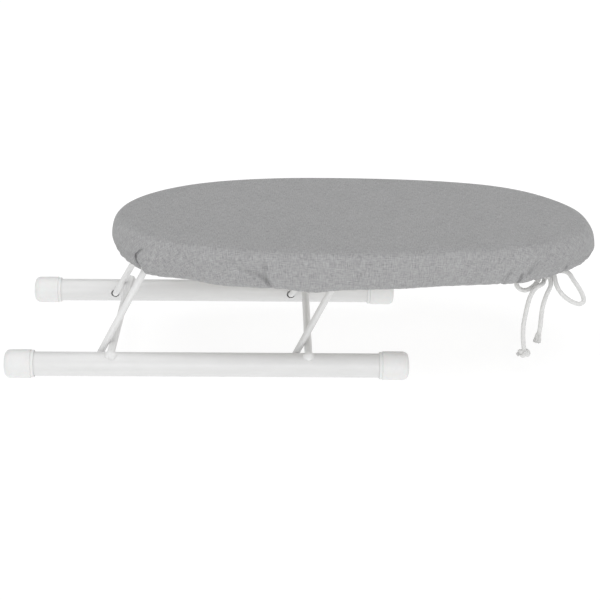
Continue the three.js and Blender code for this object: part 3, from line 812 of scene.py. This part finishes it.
def cover_cloth():
    """The sewn cover: flat top, rounded shoulder, gathered skirt, and the hem round the drawstring."""
    points, normals, walked, around = rim(RIM_STEP, FOLD_PLACES, FOLD_STEP)
    count = len(points)
    x, y = points[:, 0], points[:, 1]
    section, profile = hem_profile(x, y)
    inset, drop, ease = profile[..., 0], profile[..., 1], profile[..., 2]
    grid_x = np.broadcast_to(x, drop.shape)
    front_side, rear_side = ramp(y, 0.0, -CREASE_BLEND), ramp(y, 0.0, CREASE_BLEND)
    front_cut, front_full = crease_relief(grid_x, drop, CREASES)
    rear_cut, rear_full = crease_relief(grid_x, drop, REAR_CREASES)
    out = gathering(x, drop, walked, around) + front_full * front_side + rear_full * rear_side
    side = out + ease * bulge(x) - inset
    skirted, roll = ramp(drop, *SKIRT_DROPS), rolled(normals)
    flat = points[None] + normals[None] * side[..., None]
    flat[..., 1] += front_cut * front_side - rear_cut * rear_side
    hang = skirted * (TOP_Z - edge_height(x, y) - LOWEST_DROP)
    z = TOP_Z - drop - hang - roll * np.exp(-inset / ROLL_REACH) * (1 - skirted)
    top = top_rings(flat[0], roll)
    rows = np.concatenate([top, np.concatenate([flat, z[..., None]], axis=-1)])
    (x_rate, x_phase), (y_rate, y_phase) = TOP_WAVES
    soft = TOP_SOFTNESS * np.sin(rows[..., 0] * x_rate + x_phase) * np.cos(rows[..., 1] * y_rate + y_phase)
    rows[..., 2] += soft * ramp(rows[..., 2], TOP_Z - 0.002, TOP_Z) - TOP_SOFTNESS
    faces = [f[::-1] for f in grid_faces(len(rows), count)]
    closed = closed_middle(rows.reshape(-1, 3), faces, count)
    piece = mesh_object("cover_cloth", *closed, "board", "grey_cover", weave, ["cover"])
    spread_out = points[None] + normals[None] * (walk(section[:, :2])[:, None] - SECTION[0, 0])[..., None]
    set_cloth_uv(piece, np.concatenate([top[..., :2], spread_out]).reshape(-1, 2), count)
    solid = piece.modifiers.new("thickness", "SOLIDIFY")
    solid.thickness, solid.offset = COVER_THICKNESS, -1
    edge = spread_out[-1]
    after = np.roll(edge, -1, axis=0)
    area = 0.5 * abs(float(np.sum(edge[:, 0] * after[:, 1] - after[:, 0] * edge[:, 1])))
    size = edge.max(0) - edge.min(0)
    return piece, (float(size[1]), float(size[0])), area


def closed_middle(points, faces, count):
    """Makes the innermost ring one point, so that the middle of the top is closed."""
    kept = np.vstack([points[:1], points[count:]])
    return kept, [tuple(dict.fromkeys(max(0, i - count + 1) for i in f)) for f in faces]


def set_cloth_uv(piece, flat, count):
    """Stores where each point lies on the flat cloth, in metres, for the weave."""
    where = np.vstack([flat[:1], flat[count:]])
    layer = piece.data.uv_layers.new(name="cloth")
    index = np.zeros(len(piece.data.loops), int)
    piece.data.loops.foreach_get("vertex_index", index)
    layer.data.foreach_set("uv", where[index].astype(np.float32).ravel())


cover, cover_flat, cover_area = cover_cloth()

# ---------- Felt pad ----------
pad_low, pad_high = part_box("felt_pad")
PAD_BASE, PAD_TOP = pad_low.z + 0.0002, pad_high.z - 0.0004
PAD_STEP, PAD_RINGS = 0.005, 16
# Inset, height, and the shares of the roll taken downwards and inwards.
PAD_LEVELS = [(0.0075, PAD_BASE, 0, 1.05), (0.0060, PAD_BASE + 0.0008, 0, 1.0),
              (0.0062, PAD_BASE + 0.0018, 0.04, 1.0), (0.0078, PAD_TOP - 0.0022, 0.15, 1.05),
              (0.0112, PAD_TOP - 0.0008, 0.22, 1.3), (0.0165, PAD_TOP, 0.26, 1.5),
              (0.0300, PAD_TOP, 0.15, 0.75), (0.0450, PAD_TOP, 0.07, 0)]
SWELL_LIMIT, SWELL_PRESSURE, SWELL_FRAMES = 0.00025, 4, 20


def felt_pad():
    """The pad between the board and its cover, a closed form with rounded edges."""
    points, normals, _, _ = rim(PAD_STEP)
    roll = rolled(normals)
    rings = [np.column_stack([points - normals * (inset + roll * back)[:, None], height - roll * fall])
             for inset, height, fall, back in PAD_LEVELS]
    middle = np.array([WIDEST_X, 0.0])

    def inwards(ring, shares):
        return [np.column_stack([middle + (ring[:, :2] - middle) * share, ring[:, 2]]) for share in shares]

    shares = np.linspace(0.04, 0.96, PAD_RINGS)
    rows = [*inwards(rings[0], shares), *rings, *inwards(rings[-1], shares[::-1])]
    count = len(points)
    faces = grid_faces(len(rows), count)
    faces += [tuple(range(count))[::-1], tuple(range((len(rows) - 1) * count, len(rows) * count))]
    return mesh_object("felt_pad_soft", np.vstack(rows), faces, "board", "felt", felt, ["felt_pad"])


def swell(piece, limit):
    """Lets the pad fill out under a little pressure, no point of it by more than the limit."""
    before = np.array([v.co for v in piece.data.vertices])
    cloth = piece.modifiers.new("swell", "CLOTH")
    cloth.settings.use_pressure = True
    cloth.settings.uniform_pressure_force = SWELL_PRESSURE
    cloth.settings.effector_weights.gravity = 0
    for step in range(1, SWELL_FRAMES + 1):
        bpy.context.scene.frame_set(step)
    shape = piece.evaluated_get(bpy.context.evaluated_depsgraph_get())
    moved = np.array([v.co for v in shape.data.vertices]) - before
    piece.modifiers.remove(cloth)
    bpy.context.scene.frame_set(1)
    far = np.linalg.norm(moved, axis=1, keepdims=True)
    moved = moved * np.minimum(1, limit / np.maximum(far, 1e-9))
    piece.data.vertices.foreach_set("co", (before + moved).astype(np.float32).ravel())
    piece.data.update()


pad = felt_pad()
swell(pad, SWELL_LIMIT)

# ---------- Frame ----------
front_low, front_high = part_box("front_skid_tube")
rear_low, rear_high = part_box("rear_skid_tube")
SKID_R = (front_high.z - front_low.z) / 2
SKID_Z = (front_high.z + front_low.z) / 2
SKID_WALL, SKID_EDGE = 0.0012, 0.0003
SKID_Y = {"front": (front_low.y + front_high.y) / 2, "rear": (rear_low.y + rear_high.y) / 2}
WIRE_R, WIRE_SIDES, BAR_R = 0.0035, 28, 0.004
# The leg wire: its lean, its length between pivots, its feet's places, half its width at the feet, the top
# bar and the pins' ends, and the radius of its bends.
LEAN, LINK = math.radians(28.7), 0.126
FOOT_X = {"left": -0.215, "right": -0.013}
FOOT_HALF, TOP_HALF, PIN_END, BEND, BEND_POINTS = 0.0965, 0.0755, 0.108, 0.008, 15
# The skids' holes for the feet, and the room round a stop bar in its seat.
HOLE_R, HOLE_HALF, TOUCH = WIRE_R + 0.0011, 0.006, 0.0003
# Caps: the wall at the end, the bore, the domed face's height and radius, and the rounded corner.
CAP_WALL, CAP_BORE, CAP_DOME = 0.0026, 0.01285, (0.0011, 0.0108)
CAP_CORNER, CAP_CORNER_X = (0.0064, 0.0052), 0.0072
# The groove's three points and the lip's two: distance from the cap's open end, and depth.
CAP_GROOVE = [(0.0037, 0), (0.0032, 0.0010), (0.0028, 0.0010), (0.0025, 0.00055), (0.0008, 0.0006)]
CAP_LIP, CAP_LIP_DEPTH = 0.0008, 0.0014
# A weld: its half sizes, how far in from the bar's end and down it lies, and how lumpy it is.
WELD_SIZE, WELD_INSET, WELD_DROP = (0.0064, 0.0052, 0.0046), 0.0022, 0.0016
WELD_LUMPS, WELD_WOBBLE = 5, 0.03


def bar_box(end):
    """A stop bar's x and z, and half its length."""
    low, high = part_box(f"{end}_stop_bar")
    return (low.x + high.x) / 2, (low.z + high.z) / 2, high.y


def stop_bar(end):
    """A straight rod with domed ends."""
    x, z, half = bar_box(end)
    dome = arc((half - BAR_R, 0), (BAR_R, BAR_R), 0, 90, 8)
    profile = [(a, max(r, 0)) for a, r in [*((-a, r) for a, r in dome), *dome[::-1]]]
    mesh_object(f"{end}_stop_bar_rod", *turned_across(profile, (x, 0, z)), "base", "white_wire", wire_coat,
                [f"{end}_stop_bar"])


def plug(half, radius):
    """The profile of a plain cylinder."""
    return [(-half, 0), (-half, radius), (half, radius), (half, 0)]


def skid_tube(side):
    """A tube with softened ends, a hole for each leg's foot, and a seat for each stop bar."""
    low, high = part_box(f"{side}_skid_tube")
    inner, length = SKID_R - SKID_WALL, high.x - low.x
    profile = [(0, inner), (0, SKID_R - SKID_EDGE), (SKID_EDGE, SKID_R), (length - SKID_EDGE, SKID_R),
               (length, SKID_R - SKID_EDGE), (length, inner), (0, inner)]
    points, faces = turned(profile, (low.x, SKID_Y[side], SKID_Z), 1)
    piece = mesh_object(f"{side}_skid_tube_pipe", *merged(points, faces), "base", "white_enamel", tube_coat,
                        [f"{side}_skid_tube"])
    inner_face = SKID_Y[side] - math.copysign(SKID_R, SKID_Y[side])
    cutters = []
    for end in FOOT_X:
        x, z, half = bar_box(end)
        cutters.append(turned_across(plug(half + TOUCH, BAR_R + TOUCH), (x, 0, z)))
        cutters.append(turned_across(plug(HOLE_HALF, HOLE_R), (FOOT_X[end], inner_face, SKID_Z)))
    cut(piece, cutters)
    crisp(piece)


def end_cap(side, end):
    """A moulded cap: a softly domed end, a wide rounded corner, and a stepped lip against the tube."""
    low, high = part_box(f"{side}_{end}_cap")
    length, radius = high.x - low.x, (high.z - low.z) / 2
    dome = arc((CAP_DOME[0], 0), CAP_DOME, 180, 125, 8)
    corner = arc((CAP_CORNER_X, radius - CAP_CORNER[1]), CAP_CORNER, 172, 90, 12)
    groove = [(length - back, radius - deep) for back, deep in CAP_GROOVE]
    lip = arc((length - CAP_LIP, radius - CAP_LIP_DEPTH), (CAP_LIP, CAP_LIP), 80, 0, 5)
    inside = [(length, CAP_BORE), (CAP_WALL, CAP_BORE), (CAP_WALL, 0)]
    profile = [(a, max(r, 0)) for a, r in [*dome, *corner, *groove, *lip, *inside]]
    direction = 1 if end == "left" else -1
    place = (low.x if end == "left" else high.x, SKID_Y[side], SKID_Z)
    piece = mesh_object(f"{side}_{end}_cap_moulding", *merged(*turned(profile, place, direction)), "base",
                        "white_plastic", plastic, [f"{side}_{end}_cap"])
    crisp(piece, 40)


def leg_frame(end):
    """One bent wire: pins at the feet, two leaning arms, and the bar that turns under the board."""
    half_frame = [(0, -PIN_END), (0, -FOOT_HALF), (LINK, -TOP_HALF)]
    flat = [*half_frame, *((up, -y) for up, y in half_frame[::-1])]
    lean_x, lean_z = math.sin(LEAN), math.cos(LEAN)
    corners = [np.array((FOOT_X[end] + up * lean_x, y, SKID_Z + up * lean_z)) for up, y in flat]
    line = [corners[0]]
    for before, corner, after in zip(corners, corners[1:], corners[2:]):
        inward, outward = unit(before - corner), unit(after - corner)
        half = math.acos(np.clip(inward @ outward, -1, 1)) / 2
        centre = corner + unit(inward + outward) * BEND / math.sin(half)
        start = corner + inward * BEND / math.tan(half) - centre
        stop = corner + outward * BEND / math.tan(half) - centre
        sweep = math.pi - 2 * half
        for a in np.linspace(0, sweep, BEND_POINTS):
            line.append(centre + (start * math.sin(sweep - a) + stop * math.sin(a)) / math.sin(sweep))
    line.append(corners[-1])
    piece = mesh_object(f"{end}_leg_wire", *tube(np.array(line), WIRE_R, WIRE_SIDES), f"{end}_leg",
                        "white_wire", wire_coat, [f"{end}_leg_frame"])
    crisp(piece, 50)


def weld(end, side, rng):
    """The bead of weld, coated over, that holds a stop bar's end to its skid."""
    x, z, half = bar_box(end)
    place = Vector((x, math.copysign(half - WELD_INSET, SKID_Y[side]), z - WELD_DROP))
    work = bmesh.new()
    bmesh.ops.create_icosphere(work, subdivisions=4, radius=1)
    lumps = [Vector(lump) for lump in rng.normal(size=(WELD_LUMPS, 3))]
    for v in work.verts:
        wobble = sum(math.sin(3.1 * lump.dot(v.co) + k) for k, lump in enumerate(lumps)) * WELD_WOBBLE
        v.co = v.co * Vector(WELD_SIZE) * (1 + wobble) + place
    mesh_object(f"{end}_{side}_weld", *taken(work), "base", "white_wire", wire_coat)


weld_rng = np.random.default_rng(3)
for end in FOOT_X:
    stop_bar(end)
    leg_frame(end)
for side in SKID_Y:
    skid_tube(side)
    for end in FOOT_X:
        end_cap(side, end)
        weld(end, side, weld_rng)

# The clips, their screws and the board keep their CAD shapes, with finer materials.
for name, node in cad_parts.items():
    if "clip" in name:
        node.material_slots[0].material = zinc
    if name == "board_core":
        node.material_slots[0].material = board_stuff


# ---------- Floor and light ----------
FLOOR_HALF, FLOOR_GLOW = 9.0, 0.85
FLOOR_DARK, FLOOR_LIGHT = (0.20, 0.20, 0.20), (0.21, 0.21, 0.21)
# The surroundings dim above the horizon, between two heights.
SKYLINE, WORLD, SKY_BAND = 0.96, 0.27, (0.2, 0.42)
# Each light's strength, the way it shines, and its width in degrees.
SUNS = {"top_light": (1.64, (0.05, 0.1, -1), 70), "front_light": (0.84, (-0.08, 1, -0.25), 40)}


def make_floor():
    """A wide, faintly grained sheet of glowing paper."""
    mesh = bpy.data.meshes.new("floor")
    corners = [(x * FLOOR_HALF, y * FLOOR_HALF, 0) for x, y in ((-1, -1), (1, -1), (1, 1), (-1, 1))]
    mesh.from_pydata(corners, [], [(0, 1, 2, 3)])
    floor = bpy.data.objects.new("floor", mesh)
    f = Finish("floor_paper", Roughness=0.9, Specular_IOR_Level=0.2, Emission_Color=(1, 1, 1, 1),
               Emission_Strength=FLOOR_GLOW)
    grain = f.noise(60.0, 4.0)
    f.colour(f.mix(f.spread(grain), FLOOR_DARK, FLOOR_LIGHT))
    mesh.materials.append(f.material)
    bpy.context.scene.collection.objects.link(floor)


def soft_sun(name, strength, towards, wide):
    """A broad, even light from far off, shining in the given direction."""
    data = bpy.data.lights.new(name, "SUN")
    data.energy, data.angle = strength, math.radians(wide)
    light = bpy.data.objects.new(name, data)
    light.rotation_euler = Vector(towards).to_track_quat("-Z", "Y").to_euler()
    bpy.context.scene.collection.objects.link(light)


def make_light():
    world = bpy.data.worlds.new("studio")
    world.use_nodes = True
    nodes, links = world.node_tree.nodes, world.node_tree.links
    nodes["Background"].inputs["Color"].default_value = (1, 1, 1, 1)
    split = nodes.new("ShaderNodeSeparateXYZ")
    fall = nodes.new("ShaderNodeMapRange")
    links.new(nodes.new("ShaderNodeTexCoord").outputs["Generated"], split.inputs["Vector"])
    links.new(split.outputs["Z"], fall.inputs["Value"])
    for socket, value in zip(RANGE_SOCKETS, (*SKY_BAND, SKYLINE, WORLD)):
        fall.inputs[socket].default_value = value
    links.new(fall.outputs["Result"], nodes["Background"].inputs["Strength"])
    bpy.context.scene.world = world
    for name, settings in SUNS.items():
        soft_sun(name, *settings)


make_floor()
make_light()
bpy.context.scene.view_settings.view_transform = "Standard"
